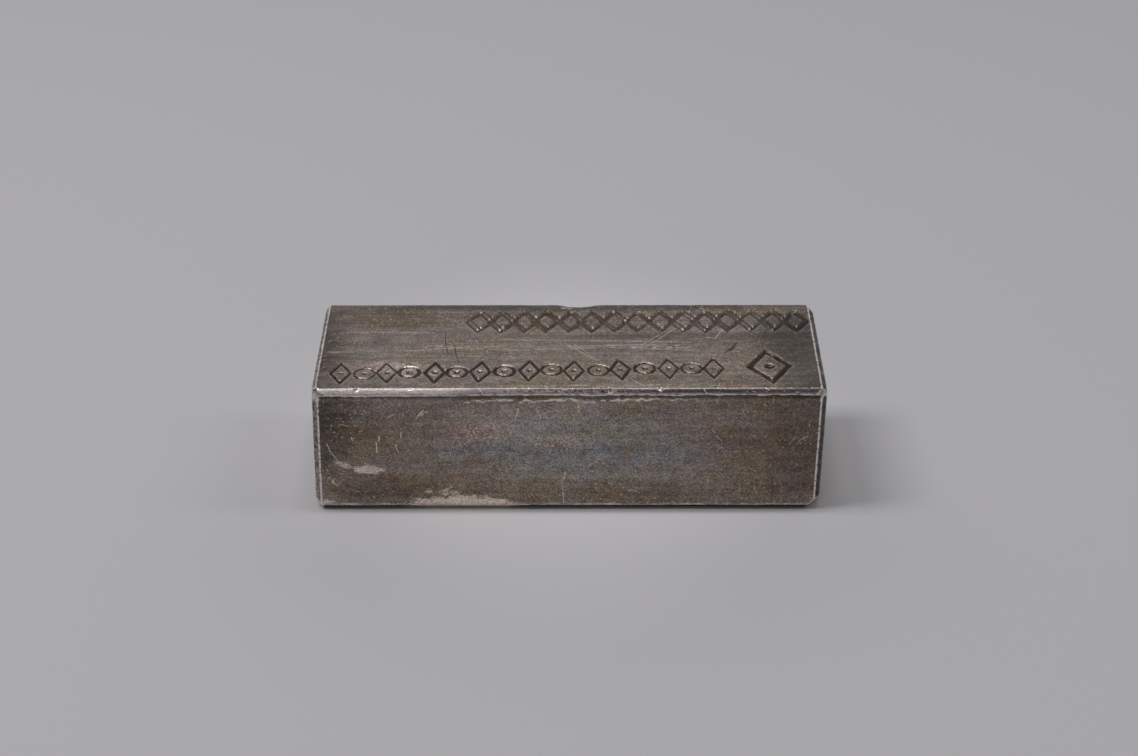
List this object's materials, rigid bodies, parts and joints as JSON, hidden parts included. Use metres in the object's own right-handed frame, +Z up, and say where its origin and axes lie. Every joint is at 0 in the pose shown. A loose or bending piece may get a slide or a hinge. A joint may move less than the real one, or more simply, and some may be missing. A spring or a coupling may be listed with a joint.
{
  "type": "silver bar",
  "caption": "Small rectangular bar of tarnished silver with chamfered edges and sawn ends, lying flat, kept and stacked as bullion or cut up as casting stock.",
  "frame": {"origin": "middle of the underside, on the surface that the bar lies on", "axes": "+X along the bar, +Y from the front face to the back face, +Z up"},
  "size_m": [0.0536, 0.019, 0.0147],
  "materials": {
    "silver": "drawn silver dulled by grey and brown tarnish, satin, with bright rubbed edges and handling scratches"
  },
  "bodies": {
    "root": {"silver_bar": "silver"}
  },
  "joints": []
}
